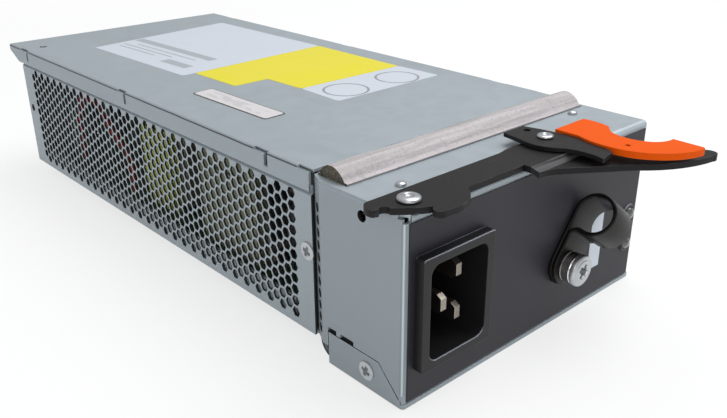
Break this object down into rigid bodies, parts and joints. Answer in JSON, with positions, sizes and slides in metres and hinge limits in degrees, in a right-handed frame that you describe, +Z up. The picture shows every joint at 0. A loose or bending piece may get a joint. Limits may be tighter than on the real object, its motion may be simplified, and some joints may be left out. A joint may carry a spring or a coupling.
{
  "type": "hot swap server power supply",
  "caption": "Front-loading rack power supply with a mains inlet, a cord clamp, an ejector lever with an orange release grip, and a long perforated sheet-metal case behind.",
  "frame": {"origin": "on the underside of the front section, midway between its sides and 15 mm behind the black front face", "axes": "+X to the right seen from the front, +Y into the bay towards the output connector, +Z up"},
  "size_m": [0.1163, 0.2805, 0.0605],
  "materials": {
    "galvanised": "zinc-coated sheet, satin with a faint spangle",
    "bright_zinc": "bright zinc plate",
    "black_steel": "black zinc, satin",
    "orange_plastic": "moulded orange, fine texture",
    "black_film": "matt black polycarbonate film",
    "black_plastic": "moulded black, satin",
    "clamp_black": "vinyl-dipped strap, gloss black",
    "pin_metal": "nickel-plated brass",
    "lens": "clear round lens, unlit",
    "emi_fabric": "metallised fabric over foam",
    "board_green": "solder mask",
    "insulator": "natural insulating sheet",
    "sink_metal": "extruded, plain",
    "can_black": "shrink sleeve",
    "ferrite": "sintered ferrite",
    "tape_yellow": "polyester tape",
    "wire_insulation": "wire insulation",
    "copper": "enamelled copper winding",
    "blade_metal": "gold-flashed blades",
    "package_black": "moulded package"
  },
  "bodies": {
    "case": {"side_grille": "galvanised", "right_side": "galvanised", "case_floor": "galvanised", "top_cover": "galvanised", "rear_panel": "galvanised", "front_shell": "galvanised", "front_top_plate": "galvanised", "front_bottom_plate": "galvanised", "face_overlay": "black_film", "emi_gasket": "emi_fabric", "inlet_housing": "black_plastic", "inlet_pins": "pin_metal", "cord_clamp": "clamp_black", "clamp_collar": "clamp_black", "clamp_screw": "bright_zinc", "clamp_nut": "bright_zinc", "led_lenses": "lens", "led_board": "board_green", "pivot_rivet": "bright_zinc", "stop_studs": "bright_zinc", "case_screws": "bright_zinc", "flange_screws": "bright_zinc", "board_standoffs": "bright_zinc", "insulating_sheet": "insulator", "main_board": "board_green", "bulk_capacitors": "can_black", "output_capacitors": "can_black", "choke_core": "ferrite", "choke_winding": "copper", "transformer_core": "ferrite", "transformer_winding": "tape_yellow", "primary_heatsink": "sink_metal", "secondary_heatsink": "sink_metal", "power_devices": "package_black", "control_board": "board_green", "emi_choke": "copper", "output_connector": "black_plastic", "output_blades": "blade_metal", "line_wires": "wire_insulation", "sense_wires": "wire_insulation"},
    "lever": {"ejector_lever": "black_steel", "latch_rivet": "bright_zinc"},
    "latch": {"latch_plate": "black_steel", "latch_grip": "orange_plastic"}
  },
  "joints": [
    {"name": "lever_swing", "type": "hinge", "parent": "case", "child": "lever", "pos_m": [-0.0501, -0.012, 0.057], "axis": [0, 0, -1], "range_deg": [0, 65]},
    {"name": "latch_squeeze", "type": "hinge", "parent": "lever", "child": "latch", "pos_m": [0.0078, -0.009, 0.0587], "axis": [0, 0, -1], "range_deg": [0, 8], "stiffness_Nm_per_rad": 0.2}
  ]
}
